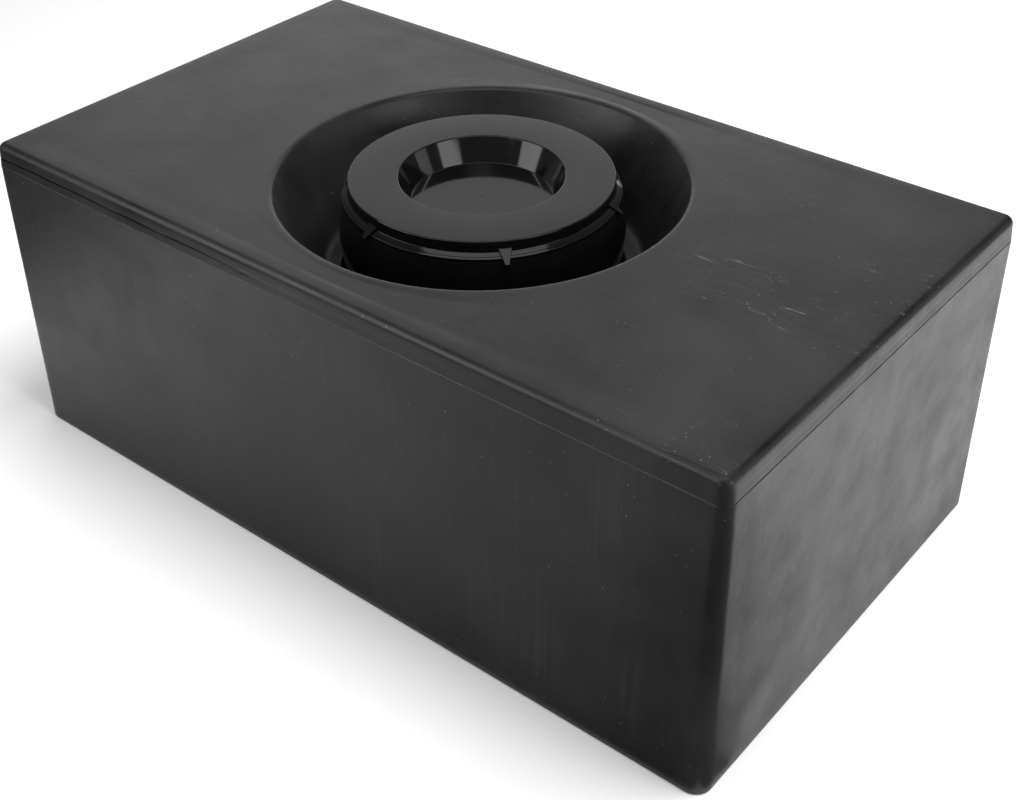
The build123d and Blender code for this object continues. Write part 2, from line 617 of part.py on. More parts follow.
def float_lid():
    """Dished lid with a turned-down skirt, sloping flange, grip lugs and locking hooks."""
    inside_z = LID_TOP_Z - LID_WALL
    spigot_inside = SPIGOT_RADIUS - SPIGOT_WALL
    face = make_face(Polyline(
        (0, DISH_FLOOR_Z),
        (DISH_FLOOR_RADIUS, DISH_FLOOR_Z),
        (DISH_RIM_RADIUS, LID_TOP_Z),
        (LID_RADIUS, LID_TOP_Z),
        (SKIRT_RADIUS, SKIRT_FOOT_Z),
        (FLANGE_RADIUS, FLANGE_EDGE_Z),
        (FLANGE_RADIUS, FLANGE_FOOT_Z),
        (SPIGOT_RADIUS, FLANGE_FOOT_Z),
        (SPIGOT_RADIUS, spigot_foot_z()),
        (spigot_inside, spigot_foot_z()),
        (spigot_inside, inside_z),
        (DISH_RIM_RADIUS + LID_WALL, inside_z),
        (DISH_FLOOR_RADIUS + LID_WALL, DISH_FLOOR_Z - LID_WALL),
        (0, DISH_FLOOR_Z - LID_WALL), close=True))
    rounds = [
        (LID_RADIUS, LID_TOP_Z, LID_EDGE_ROUND),
        (DISH_RIM_RADIUS, LID_TOP_Z, DISH_RIM_ROUND),
        (DISH_FLOOR_RADIUS, DISH_FLOOR_Z, DISH_FLOOR_ROUND),
        (FLANGE_RADIUS, FLANGE_EDGE_Z, FLANGE_EDGE_ROUND),
    ]
    part = revolve(Plane.XZ * rounded_corners(face, rounds), Axis.Z)
    groove_inner, groove_outer = SEAL_GROOVE
    part -= tube(groove_outer, groove_inner, FLANGE_FOOT_Z - 1, FLANGE_FOOT_Z + SEAL_GROOVE_DEPTH)
    for copy in around(LUGS, LUG_START_ANGLE, grip_lug()):
        part += copy
    for copy in around(HOOKS, 0, lid_hook()):
        part += copy
    return part


def spigot_foot_z():
    """Bottom of the lid's spigot, below the shell's ledge."""
    return SHELL_TOP_Z - MOUTH_THICK - 6


def lid_hook():
    """Hook at the foot of the spigot that turns in under the shell's ledge."""
    low = spigot_foot_z()
    high = SHELL_TOP_Z - MOUTH_THICK - 0.3
    wedge = sector(HOOK_RADIUS, HOOK_ANGLE, low, high)
    return wedge - disc(SPIGOT_RADIUS - 2, low - 1, high + 1)


def grip_lug():
    """Wedge-shaped lug from the skirt out over the flange, narrow at its tip."""
    slope = [(SKIRT_RADIUS - 1.6, SKIRT_FOOT_Z + 4.6), (LUG_TIP_RADIUS, FLANGE_EDGE_Z - 3.6),
             (LUG_TIP_RADIUS - 0.5, FLANGE_EDGE_Z - 5.4), (FLANGE_RADIUS + 0.9, FLANGE_EDGE_Z - 2.6),
             (FLANGE_RADIUS - 1.5, FLANGE_EDGE_Z - 1), (SKIRT_RADIUS - 1.6, SKIRT_FOOT_Z - 1)]
    side = extrude(Plane.XZ * make_face(Polyline(*slope, close=True)), LUG_ROOT_WIDTH, both=True)
    root = LUG_ROOT_WIDTH / 2
    tip = LUG_TIP_WIDTH / 2
    plan = Polyline((SKIRT_RADIUS - 2, -root), (LUG_TIP_RADIUS + 1, -tip),
                    (LUG_TIP_RADIUS + 1, tip), (SKIRT_RADIUS - 2, root), close=True)
    return side & extrude(make_face(plan), BODY_HEIGHT + 100)


def float_gasket():
    """Rubber ring between the lid's flange and the shell's ledge."""
    return tube(149.7, 146.3, SHELL_TOP_Z, FLANGE_FOOT_Z + 2.0)


def float_ballast():
    """Cast weight in the bottom of the ball that keeps it upright and half sunk."""
    radius = BALL_RADIUS - BALL_WALL - GAP
    part = Pos(0, 0, BALL_CENTRE_Z) * Sphere(radius)
    part &= block((-200, 200), (-200, 200), (0, BALLAST_TOP_Z))
    part -= disc(BOSS_RADIUS + GAP, 0, ball_foot_z() + 9.2)
    return part - disc(STEM_RADIUS + GAP, 0, BALLAST_TOP_Z + 1)


def float_stem():
    """Stainless rod through the ball, with the clevis that drives the lever at its foot."""
    clevis_top = PIN_REST_Z + 11.5
    part = disc(STEM_RADIUS, clevis_top - 2, STEM_TOP_Z)
    clevis = block((-7, 7), (-7, 7), (PIN_REST_Z - 7.5, clevis_top))
    clevis -= block((-8, 8), (-3.6, 3.6), (PIN_REST_Z - 8.5, PIN_REST_Z + 7.8))
    part += clevis
    return part - Pos(0, 0, PIN_REST_Z) * Rot(90, 0, 0) * Cylinder(PIN_RADIUS, 30)


def clevis_pin():
    """Cross pin of the clevis; it runs in the lever's slot."""
    return Pos(0, 0, PIN_REST_Z) * Rot(90, 0, 0) * Cylinder(PIN_RADIUS, 16)


def stem_nuts():
    """Nuts that clamp the ball and its weight on the stem."""
    foot = ball_foot_z() - 2 * WASHER_THICK
    top = BALLAST_TOP_Z + WASHER_THICK
    bore = STEM_RADIUS
    lower = hexagon(NUT_FLATS, foot - NUT_HEIGHT, foot, bore)
    upper = hexagon(NUT_FLATS, top, top + NUT_HEIGHT, bore)
    return [lower, upper]


def stem_washers():
    """Steel washers under the two nuts."""
    foot = ball_foot_z() - 2 * WASHER_THICK
    lower = tube(WASHER_RADIUS, STEM_RADIUS, foot, foot + WASHER_THICK)
    upper = tube(WASHER_RADIUS, STEM_RADIUS, BALLAST_TOP_Z, BALLAST_TOP_Z + WASHER_THICK)
    return [lower, upper]


def stem_seal():
    """Rubber washer that seals the stem hole under the ball."""
    foot = ball_foot_z() - WASHER_THICK
    return tube(WASHER_RADIUS + 2, STEM_RADIUS, foot, foot + WASHER_THICK)


# ================================================================ drain
def drain_outlet():
    """Flanged outlet through the well floor, threaded below for its nut."""
    top = WELL_FLOOR_Z + SEAL_THICK + DRAIN_FLANGE_THICK
    part = disc(DRAIN_BORE + DRAIN_WALL, DRAIN_BOTTOM_Z, top, DRAIN_X)
    part += disc(DRAIN_FLANGE_RADIUS, top - DRAIN_FLANGE_THICK, top, DRAIN_X)
    part -= disc(DRAIN_BORE, DRAIN_BOTTOM_Z - 1, top + 1, DRAIN_X)
    thread_low = DRAIN_BOTTOM_Z + 3
    for turn in range(5):
        low = thread_low + 3 * turn
        part -= Pos(DRAIN_X, 0, 0) * turned([(DRAIN_BORE + DRAIN_WALL - 0.8, low + 0.8),
                                             (DRAIN_BORE + DRAIN_WALL + 1, low - 0.6),
                                             (DRAIN_BORE + DRAIN_WALL + 1, low + 2.2)])
    return part


def drain_gasket():
    """Rubber ring under the outlet's flange."""
    bore = DRAIN_BORE + DRAIN_WALL + 0.2
    return tube(DRAIN_FLANGE_RADIUS - 2, bore, WELL_FLOOR_Z, WELL_FLOOR_Z + SEAL_THICK, DRAIN_X)


def drain_nut():
    """Large nut that clamps the outlet from below."""
    top = WELL_FLOOR_Z - WALL - GAP
    bore = DRAIN_BORE + DRAIN_WALL + FIT
    part = tube(26, bore, top - 9, top, DRAIN_X)
    grip = block((24.5, 28), (-2.5, 2.5), (top - 9, top))
    for copy in around(8, 0, grip):
        part += Pos(DRAIN_X, 0, 0) * copy
    return part


def drain_plug():
    """Push-in plug with a finger ring."""
    seat = WELL_FLOOR_Z + SEAL_THICK + DRAIN_FLANGE_THICK + GAP
    profile = [(0, seat - 20), (DRAIN_BORE - 1.4, seat - 20), (DRAIN_BORE - GAP, seat - 12),
               (DRAIN_BORE - GAP, seat), (DRAIN_BORE + 5, seat), (DRAIN_BORE + 5, seat + 3),
               (DRAIN_BORE + 2, seat + 5), (0, seat + 5)]
    part = turned(profile) - disc(DRAIN_BORE - 4, seat - 21, seat - 2)
    ring = Pos(0, 0, seat + 14) * Rot(90, 0, 0) * Torus(9, 2.2)
    return Pos(DRAIN_X, 0, 0) * (part + ring)


# ================================================================ all sub-parts
def main():
    os.makedirs("parts", exist_ok=True)
    makers = [
        deck, bowl, float_well, side_walls, base_pan, foam_core, foam_fill_plugs,
        service_plate, plate_screws, plate_inserts, pipe_grommet,
        inlet_fitting, inlet_nut, inlet_washers, inlet_strainer,
        valve_body, valve_nozzle, valve_plunger, valve_seal, valve_lever, lever_pin,
        guide_spider, guide_bush, rest_ring, spider_screws, spider_inserts,
        float_shell, float_lid, float_gasket, float_ballast, float_stem, clevis_pin,
        stem_nuts, stem_washers, stem_seal,
        drain_outlet, drain_gasket, drain_nut, drain_plug,
    ]
    for make in makers:
        write(make.__name__, make())


main()
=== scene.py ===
"""Looks of the insulated livestock drinker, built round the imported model.

Metres, +Z up, in the model's own frame: the origin is on the ground under the middle
of the block, X runs along its long side.  The block's two outer mouldings are new
meshes with the small faults of real moulded plastic, and so is the float's lid.  Every
other sub-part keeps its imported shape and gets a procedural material.
"""
import json
import math

import bmesh
import bpy
from mathutils import Matrix, Vector, noise


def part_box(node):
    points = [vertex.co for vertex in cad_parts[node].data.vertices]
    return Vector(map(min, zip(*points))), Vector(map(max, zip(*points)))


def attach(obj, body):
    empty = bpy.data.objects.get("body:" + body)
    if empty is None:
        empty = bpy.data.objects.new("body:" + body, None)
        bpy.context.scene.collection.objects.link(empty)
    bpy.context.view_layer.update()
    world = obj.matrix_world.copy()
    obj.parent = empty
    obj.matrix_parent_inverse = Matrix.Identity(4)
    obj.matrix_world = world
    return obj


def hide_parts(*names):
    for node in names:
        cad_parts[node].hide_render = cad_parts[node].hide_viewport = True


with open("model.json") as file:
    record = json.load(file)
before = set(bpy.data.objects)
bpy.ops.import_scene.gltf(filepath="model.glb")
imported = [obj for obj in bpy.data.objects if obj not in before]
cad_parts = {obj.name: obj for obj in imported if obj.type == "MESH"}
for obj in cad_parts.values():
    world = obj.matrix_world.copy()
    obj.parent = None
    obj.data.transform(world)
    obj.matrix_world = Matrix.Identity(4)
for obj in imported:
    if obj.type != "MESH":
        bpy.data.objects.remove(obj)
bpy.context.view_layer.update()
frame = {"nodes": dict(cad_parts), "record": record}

# ---------------------------------------------------------------- sizes taken from the frame
DECK_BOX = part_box("deck")
WALLS_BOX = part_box("side_walls")
LENGTH = DECK_BOX[1][0] - DECK_BOX[0][0]
WIDTH = DECK_BOX[1][1] - DECK_BOX[0][1]
DECK_Z = DECK_BOX[1][2]
SEAM_Z = WALLS_BOX[1][2]
LIP_FOOT_Z = DECK_BOX[0][2]
BOWL_FOOT_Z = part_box("bowl")[0][2]
DECK_UNDER_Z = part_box("bowl")[1][2]
SIDE_DRAFT = (WALLS_BOX[1][0] - WALLS_BOX[0][0] - LENGTH) / 2

# ---------------------------------------------------------------- other sizes of the mouldings
WALL = 0.007
GAP = 0.0003
DECK_LEAN = 0.0025          # each side of the deck leans in this far from the seam up
DECK_ROUND = 0.009
CORNER_RADIUS = 0.014
BASE_ROUND = 0.0025
FOOT_BREADTH = 0.004        # flat foot of the side walls, inward from the seam's outline
LIP_THICK = 0.005
LEDGE_REACH = 0.010
LEDGE_HEIGHT = 0.006
RIM_RADIUS = 0.231          # bowl wall met by the deck plane
RIM_ROUND = 0.007
BOWL_FLOOR_RADIUS = 0.183
BOWL_FLOOR_Z = BOWL_FOOT_Z + WALL
BOWL_ROUND = 0.012
WELL_MOUTH_RADIUS = 0.161
WELL_MOUTH_ROUND = 0.004
WELL_SLOPE = 0.021 / 0.217  # how much the well widens per height
BOWL_SLOPE = (RIM_RADIUS - BOWL_FLOOR_RADIUS) / (DECK_Z - BOWL_FLOOR_Z)

# ---------------------------------------------------------------- the float's lid
LID_TOP_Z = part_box("float_lid")[1][2]
SPIGOT_FOOT_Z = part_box("float_lid")[0][2]
LID_RADIUS = 0.1481
LID_WALL = 0.0032
LID_EDGE_ROUND = 0.0016
SKIRT_RADIUS = 0.1486
SKIRT_FOOT_Z = DECK_Z - 0.0080
SKIRT_FOOT_ROUND = 0.0008
FLANGE_RADIUS = 0.1553
FLANGE_EDGE_Z = DECK_Z - 0.0124
FLANGE_EDGE_ROUND = 0.0004
FLANGE_FOOT_Z = DECK_Z - 0.0140
FLANGE_GROOVE = (0.62, 0.74)        # share of the way down the flange's slope
FLANGE_GROOVE_FLANK = 0.04          # share of the slope that each flank of the groove takes
FLANGE_GROOVE_DEPTH = 0.0005
SEAL_GROOVE = (0.146, 0.150)
SEAL_GROOVE_DEPTH = 0.0024
DISH_RIM_RADIUS = 0.0925
DISH_RIM_ROUND = 0.0022
DISH_FLOOR_RADIUS = 0.0795
DISH_FLOOR_Z = DECK_Z - 0.024
DISH_FLOOR_ROUND = 0.0012
GATE_MARK_RADIUS = 0.0016           # where the plastic was injected
GATE_MARK_FLOOR_RADIUS = 0.00096
GATE_MARK_DEPTH = 0.0006
SPIGOT_RADIUS = 0.134
SPIGOT_WALL = 0.003
HOOKS = 3
HOOK_RADIUS = 0.141
HOOK_HALF_ANGLE = math.radians(7.5)
HOOK_TOP_Z = DECK_Z - 0.0203
HOOK_ROOT = 0.002                   # the hooks start this far inside the spigot's wall
LUGS = 6
LUG_START = math.radians(19)
LUG_ROOT_WIDTH = 0.015
LUG_TIP_WIDTH = 0.0045
LUG_ROOT_RADIUS = SKIRT_RADIUS - 0.0016
LUG_TIP_RADIUS = 0.162
LUG_SIDE = [                        # side view, from the top of its root out to the tip and back
    (LUG_ROOT_RADIUS, SKIRT_FOOT_Z + 0.0046),
    (LUG_TIP_RADIUS, FLANGE_EDGE_Z - 0.0036),
    (LUG_TIP_RADIUS - 0.0005, FLANGE_EDGE_Z - 0.0054),
    (FLANGE_RADIUS + 0.0009, FLANGE_EDGE_Z - 0.0026),
    (FLANGE_RADIUS - 0.0015, FLANGE_EDGE_Z - 0.0010),
    (LUG_ROOT_RADIUS, SKIRT_FOOT_Z - 0.0010)]
LUG_ROUND = 0.0003
LID_COLUMNS = 288

# ---------------------------------------------------------------- faults of real plastic
SEAM_BEVEL = (0.0009, 0.0017)       # least and greatest size of the ragged bevel on the walls' top
SEAM_TEARS = 60                     # uneven places of the bevel per metre
SEAM_STEP = 0.0002                  # the walls stand proud of the deck by this much
FLASH_RISE = 0.0095                 # torn flash line on the front long side, above the seam
FLASH_WANDER = 0.0012
FLASH_DEPTH = 0.0030
FLASH_HALF_WIDTH = 0.0010
FLASH_END_X = -0.06                 # the torn line fades out here
FLASH_TEARS = 35                    # tears, waves and fine jags of the line, per metre
FLASH_WAVES = 22
FLASH_JAGS = 130
FLASH_SECTION = ((1.0, 0.0), (0.8, 1.0), (-0.8, 1.0), (-1.0, 0.0))     # shares of half width and depth
FLASH_LEAN = 0.48                   # share of the deck's lean reached at the flash line
ABOVE_FLASH_LEAN = 0.55             # the same at the foot of the plain side above it
ABOVE_FLASH_RISE = 0.003
BELOW_FLASH_RISES = (0.006, 0.003, 0.0001)
SINK_DEPTH = 0.0010                 # greatest hollow of the flat walls
SINK_WAVES = 8                      # broad hollows per metre
RIPPLES_ACROSS = 14                 # slanting ripples per metre, across and along their run
RIPPLES_ALONG = 5
SINK_FADE = 0.03                    # hollows die out over this distance from a wall's edges
DECK_SINK_FADE = 6.0                # on the deck they die out over a sixth of the way across
LIGHTER_PATCH_PLACE = (-0.33, -WIDTH / 2, 0.20)    # lighter patch on the front long side
LIGHTER_PATCH_CORE = 0.03
LIGHTER_PATCH_REACH = 0.17
COLUMN_STEP = 0.004
ROW_STEP = 0.009
DECK_ROWS = 30
CORNER_STEPS = 10
ARC_STEPS = 8
HOOK_STEPS = 6
SHARP_ANGLE = math.radians(40)
MERGE_DISTANCE = 1e-7


# ================================================================ profiles and rows
def rounded(corners, steps=ARC_STEPS):
    """Points of a profile from (across, up, rounding) corners; each rounding becomes an arc."""
    points = []
    for index, (across, up, rounding) in enumerate(corners):
        corner = Vector((across, up))
        if not rounding:
            points.append(corner)
            continue
        before = (Vector(corners[index - 1][:2]) - corner).normalized()
        after = (Vector(corners[index + 1][:2]) - corner).normalized()
        half = before.angle(after) / 2
        centre = corner + (before + after).normalized() * rounding / math.sin(half)
        first = corner + before * rounding / math.tan(half) - centre
        turn = first.angle_signed(corner + after * rounding / math.tan(half) - centre)
        for step in range(steps + 1):
            points.append(centre + Matrix.Rotation(-turn * step / steps, 2) @ first)
    return points


def spaced(points, longest=ROW_STEP):
    """The same profile with its long straight stretches divided."""
    result = [points[0]]
    for start, end in zip(points, points[1:]):
        count = max(1, math.ceil((end - start).length / longest))
        result += [start.lerp(end, index / count) for index in range(1, count + 1)]
    return result


FRONT_ANGLE = math.pi / 2 * 3       # outward angle of the front long side


def outline_columns():
    """Columns round the block's outline: place on the core rectangle, and outward angle."""
    corners = [(1, -1), (1, 1), (-1, 1), (-1, -1)]
    columns = []
    for side in range(4):
        start = Vector(corners[side])
        end = Vector(corners[(side + 1) % 4])
        count = round((LENGTH if side % 2 else WIDTH) / COLUMN_STEP)
        angle = math.pi / 2 * side
        columns += [(start.lerp(end, index / count), angle) for index in range(count)]
        columns += [(end, angle + math.pi / 2 * step / CORNER_STEPS) for step in range(CORNER_STEPS)]
    return columns


COLUMNS = outline_columns()


def outline_point(column, grow, z):
    """Point on the block's outline, grown by an amount, at a height."""
    core, angle = column
    radius = max(CORNER_RADIUS + grow, 0.002)
    x = core.x * (LENGTH / 2 + grow - radius) + math.cos(angle) * radius
    y = core.y * (WIDTH / 2 + grow - radius) + math.sin(angle) * radius
    return Vector((x, y, z))


def circle_point(column, radius, z):
    """Point of a circle about Z in the same direction as the column's outline point."""
    place = outline_point(column, 0, z)
    flat = place.to_2d().normalized() * radius
    return Vector((flat.x, flat.y, z))


def outward(column):
    """Horizontal direction that the wall faces at a column."""
    return Vector((math.cos(column[1]), math.sin(column[1]), 0))


def sunk(place):
    """Hollow of a flat wall at a place: broad waves and slanting ripples, never negative."""
    broad = noise.noise(place * SINK_WAVES)
    across = place.y + place.z
    along = place.y - place.z
    slanted = Vector((place.x * RIPPLES_ACROSS, across * RIPPLES_ACROSS, along * RIPPLES_ALONG))
    ripple = noise.noise(slanted)
    return SINK_DEPTH * max(0.0, 0.5 + 0.45 * broad + 0.3 * ripple)


def ragged(place, scale):
    """Uneven number from 0 to 1 along an edge."""
    return min(1.0, max(0.0, 0.5 + 0.9 * noise.noise(place * scale)))


def seam_bevel(place):
    """Size of the bevel at a place along the seam."""
    low, high = SEAM_BEVEL
    return low + (high - low) * ragged(place, SEAM_TEARS)


def ring_mesh(name, rows, closed):
    """Mesh through rows of points that each run once round; closed joins last row to first."""
    mesh = bpy.data.meshes.new(name)
    count = len(rows[0])
    faces = []
    pairs = len(rows) if closed else len(rows) - 1
    for row in range(pairs):
        low = row * count
        high = (row + 1) % len(rows) * count
        for column in range(count):
            beside = (column + 1) % count
            faces.append((low + column, low + beside, high + beside, high + column))
    mesh.from_pydata([point for row in rows for point in row], [], faces)
    return mesh


def finished(mesh):
    """Object of a mesh, with faces turned outward and smooth, and real edges kept sharp."""
    shape = bmesh.new()
    shape.from_mesh(mesh)
    bmesh.ops.remove_doubles(shape, verts=shape.verts, dist=MERGE_DISTANCE)
    bmesh.ops.recalc_face_normals(shape, faces=shape.faces)
    for face in shape.faces:
        face.smooth = True
    for edge in shape.edges:
        edge.smooth = edge.calc_face_angle(0) < SHARP_ANGLE
    shape.to_mesh(mesh)
    shape.free()
    piece = bpy.data.objects.new(mesh.name, mesh)
    bpy.context.scene.collection.objects.link(piece)
    return piece


# ================================================================ the block's mouldings
def flash_line(column, place):
    """Height and depth of the torn flash line at a column; depth is none on the other sides."""
    core, angle = column
    on_front = core.y == -1 and angle >= FRONT_ANGLE
    fade = max(0.0, (FLASH_END_X - place.x) / (FLASH_END_X + LENGTH / 2)) if on_front else 0.0
    torn = ragged(place, FLASH_TEARS) ** 0.5
    wander = noise.noise(place * FLASH_WAVES) + 0.8 * fade * noise.noise(place * FLASH_JAGS)
    height = SEAM_Z + FLASH_RISE + FLASH_WANDER * wander
    return height, FLASH_DEPTH * min(1.0, fade * 1.6) * torn


def bowl_rows():
    """Rows from the well's mouth over the floor ring and up the tapering wall to the rim."""
    mouth = WELL_MOUTH_RADIUS - WALL * WELL_SLOPE
    profile = rounded([
        (mouth, BOWL_FOOT_Z, 0),
        (WELL_MOUTH_RADIUS, BOWL_FLOOR_Z, WELL_MOUTH_ROUND),
        (BOWL_FLOOR_RADIUS, BOWL_FLOOR_Z, BOWL_ROUND),
        (RIM_RADIUS, DECK_Z, RIM_ROUND),
        (RIM_RADIUS + RIM_ROUND, DECK_Z, 0)])
    return [[circle_point(column, radius, z) for column in COLUMNS] for radius, z in spaced(profile)]


def deck_rows(first_radius, last_grow):
    """Rows of the flat deck, from the rim's circle out to the outline."""
    rows = []
    for index in range(1, DECK_ROWS):
        share = index / DECK_ROWS
        row = []
        for column in COLUMNS:
            inner = circle_point(column, first_radius, DECK_Z)
            place = inner.lerp(outline_point(column, last_grow, DECK_Z), share)
            edge_fade = min(1.0, share * DECK_SINK_FADE, (1 - share) * DECK_SINK_FADE)
            place.z -= sunk(place) * edge_fade
            row.append(place)
        rows.append(row)
    return rows


def deck_edge_rows(first_grow):
    """Rows over the deck's rounded edge and down its side to the seam."""
    profile = rounded([
        (first_grow, DECK_Z, 0),
        (-DECK_LEAN, DECK_Z, DECK_ROUND),
        (-DECK_LEAN * ABOVE_FLASH_LEAN, SEAM_Z + FLASH_RISE + ABOVE_FLASH_RISE, 0)])
    rows = [[outline_point(column, grow, z) for column in COLUMNS] for grow, z in profile]
    for offset, share in FLASH_SECTION:
        row = []
        for column in COLUMNS:
            place = outline_point(column, -DECK_LEAN * FLASH_LEAN, SEAM_Z)
            height, depth = flash_line(column, place)
            place.z = height + offset * FLASH_HALF_WIDTH
            row.append(place - outward(column) * depth * share)
        rows.append(row)
    for rise in BELOW_FLASH_RISES:
        grow = -SEAM_STEP - DECK_LEAN * rise / (DECK_Z - SEAM_Z)
        rows.append([outline_point(column, grow, SEAM_Z + rise) for column in COLUMNS])
    return rows


def deck_under_rows():
    """Rows of the hidden side: locating lip, deck's underside and the bowl's outside."""
    lip_outside = -WALL - GAP
    lip_inside = lip_outside - LIP_THICK
    lip = [
        (lip_outside, SEAM_Z),
        (lip_outside, LIP_FOOT_Z),
        (lip_inside, LIP_FOOT_Z),
        (lip_inside, DECK_UNDER_Z)]
    rows = [[outline_point(column, grow, z) for column in COLUMNS] for grow, z in lip]
    offset = WALL * math.hypot(1, BOWL_SLOPE)
    foot = BOWL_FLOOR_RADIUS + (BOWL_FOOT_Z - BOWL_FLOOR_Z) * BOWL_SLOPE + offset
    top = BOWL_FLOOR_RADIUS + (DECK_UNDER_Z - BOWL_FLOOR_Z) * BOWL_SLOPE + offset
    mouth = WELL_MOUTH_RADIUS - WALL * WELL_SLOPE
    profile = rounded([(top, DECK_UNDER_Z, 0), (foot, BOWL_FOOT_Z, BOWL_ROUND), (mouth, BOWL_FOOT_Z, 0)])
    rows += [[circle_point(column, radius, z) for column in COLUMNS] for radius, z in profile[:-1]]
    return rows


def make_deck_and_bowl():
    """Upper moulding: deck, rolled rim, bowl and the lip that enters the side walls."""
    flat_grow = -DECK_LEAN - DECK_ROUND * 2
    rows = bowl_rows()
    rows += deck_rows(RIM_RADIUS + RIM_ROUND, flat_grow)
    rows += deck_edge_rows(flat_grow)
    rows += deck_under_rows()
    piece = finished(ring_mesh("deck_and_bowl_moulding", rows, closed=True))
    dress(piece, "block", "block_black")
    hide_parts("deck", "bowl")


def side_grow(z):
    """How far the side walls stand outside the seam's outline at a height."""
    return SIDE_DRAFT * (1 - z / SEAM_Z)


def wall_point(column, grow, z):
    """Point of the outer wall with its hollows, which die out towards seam, ground and corners."""
    place = outline_point(column, grow, z)
    core = column[0]
    corner = (1 - abs(core.x)) * LENGTH / 2 + (1 - abs(core.y)) * WIDTH / 2
    fade = min(1.0, max(0.0, min(SEAM_Z - z, z, corner) / SINK_FADE))
    return place - outward(column) * sunk(place) * fade


def make_side_walls():
    """Lower moulding: four leaning walls, open above and below, with the base pan's ledge."""
    bevel_foot = SEAM_Z - 0.003
    outer = rounded([
        (-FOOT_BREADTH, 0.0, 0),
        (side_grow(0), 0.0, BASE_ROUND),
        (side_grow(bevel_foot), bevel_foot, 0)])
    rows = [[wall_point(column, grow, z) for column in COLUMNS] for grow, z in spaced(outer)]
    bevels = [seam_bevel(outline_point(column, 0.0, SEAM_Z)) for column in COLUMNS]
    rows.append([outline_point(column, 0.0, SEAM_Z - bevel) for column, bevel in zip(COLUMNS, bevels)])
    rows.append([outline_point(column, -bevel, SEAM_Z) for column, bevel in zip(COLUMNS, bevels)])
    ledge_low = WALL + GAP
    ledge_high = ledge_low + LEDGE_HEIGHT
    inner = [
        (-WALL, SEAM_Z),
        (side_grow(ledge_high) - WALL, ledge_high),
        (side_grow(ledge_high) - WALL - LEDGE_REACH, ledge_high),
        (side_grow(ledge_low) - WALL - LEDGE_REACH, ledge_low),
        (side_grow(ledge_low) - WALL, ledge_low),
        (side_grow(0) - WALL, 0.0)]
    rows += [[outline_point(column, grow, z) for column in COLUMNS] for grow, z in inner]
    piece = finished(ring_mesh("side_wall_moulding", rows, closed=True))
    dress(piece, "block", "block_black")
    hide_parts("side_walls")


# ================================================================ the float's lid
def flange_point(share, depth):
    """Point down the flange's slope, at a depth under its surface."""
    top = Vector((SKIRT_RADIUS, SKIRT_FOOT_Z))
    slope = Vector((FLANGE_RADIUS, FLANGE_EDGE_Z)) - top
    inward = Vector((slope.y, -slope.x)).normalized()
    place = top + slope * share + inward * depth
    return (place.x, place.y, 0)


def lid_profile():
    """Half section of the lid, from the middle of its dish round to its underside."""
    mark_z = DISH_FLOOR_Z - GATE_MARK_DEPTH
    inside_z = LID_TOP_Z - LID_WALL
    spigot_inside = SPIGOT_RADIUS - SPIGOT_WALL
    groove_inner, groove_outer = SEAL_GROOVE
    groove_z = FLANGE_FOOT_Z + SEAL_GROOVE_DEPTH
    groove_start, groove_end = FLANGE_GROOVE
    return rounded([
        (0, mark_z, 0),
        (GATE_MARK_FLOOR_RADIUS, mark_z, 0),
        (GATE_MARK_RADIUS, DISH_FLOOR_Z, 0),
        (DISH_FLOOR_RADIUS, DISH_FLOOR_Z, DISH_FLOOR_ROUND),
        (DISH_RIM_RADIUS, LID_TOP_Z, DISH_RIM_ROUND),
        (LID_RADIUS, LID_TOP_Z, LID_EDGE_ROUND),
        (SKIRT_RADIUS, SKIRT_FOOT_Z, SKIRT_FOOT_ROUND),
        flange_point(groove_start, 0),
        flange_point(groove_start + FLANGE_GROOVE_FLANK, FLANGE_GROOVE_DEPTH),
        flange_point(groove_end - FLANGE_GROOVE_FLANK, FLANGE_GROOVE_DEPTH),
        flange_point(groove_end, 0),
        (FLANGE_RADIUS, FLANGE_EDGE_Z, FLANGE_EDGE_ROUND),
        (FLANGE_RADIUS, FLANGE_FOOT_Z, 0),
        (groove_outer, FLANGE_FOOT_Z, 0),
        (groove_outer, groove_z, 0),
        (groove_inner, groove_z, 0),
        (groove_inner, FLANGE_FOOT_Z, 0),
        (SPIGOT_RADIUS, FLANGE_FOOT_Z, 0),
        (SPIGOT_RADIUS, SPIGOT_FOOT_Z, 0),
        (spigot_inside, SPIGOT_FOOT_Z, 0),
        (spigot_inside, inside_z, 0),
        (DISH_RIM_RADIUS + LID_WALL, inside_z, 0),
        (DISH_FLOOR_RADIUS + LID_WALL, DISH_FLOOR_Z - LID_WALL, 0),
        (0, DISH_FLOOR_Z - LID_WALL, 0)])


def turned_mesh(name, profile):
    """Solid of revolution about Z from the half section's points."""
    angles = [2 * math.pi * index / LID_COLUMNS for index in range(LID_COLUMNS)]
    ways = [(math.cos(angle), math.sin(angle)) for angle in angles]
    rows = [[Vector((radius * x, radius * y, z)) for x, y in ways] for radius, z in profile]
    return ring_mesh(name, rows, closed=False)


def slab_mesh(name, points):
    """Closed solid between two loops of the same number of points, given one after the other."""
    count = len(points) // 2
    loop = list(range(count))
    sides = [(index, (index + 1) % count, (index + 1) % count + count, index + count) for index in loop]
    ends = [tuple(loop), tuple(index + count for index in reversed(loop))]
    mesh = bpy.data.meshes.new(name)
    mesh.from_pydata(points, [], sides + ends)
    return mesh


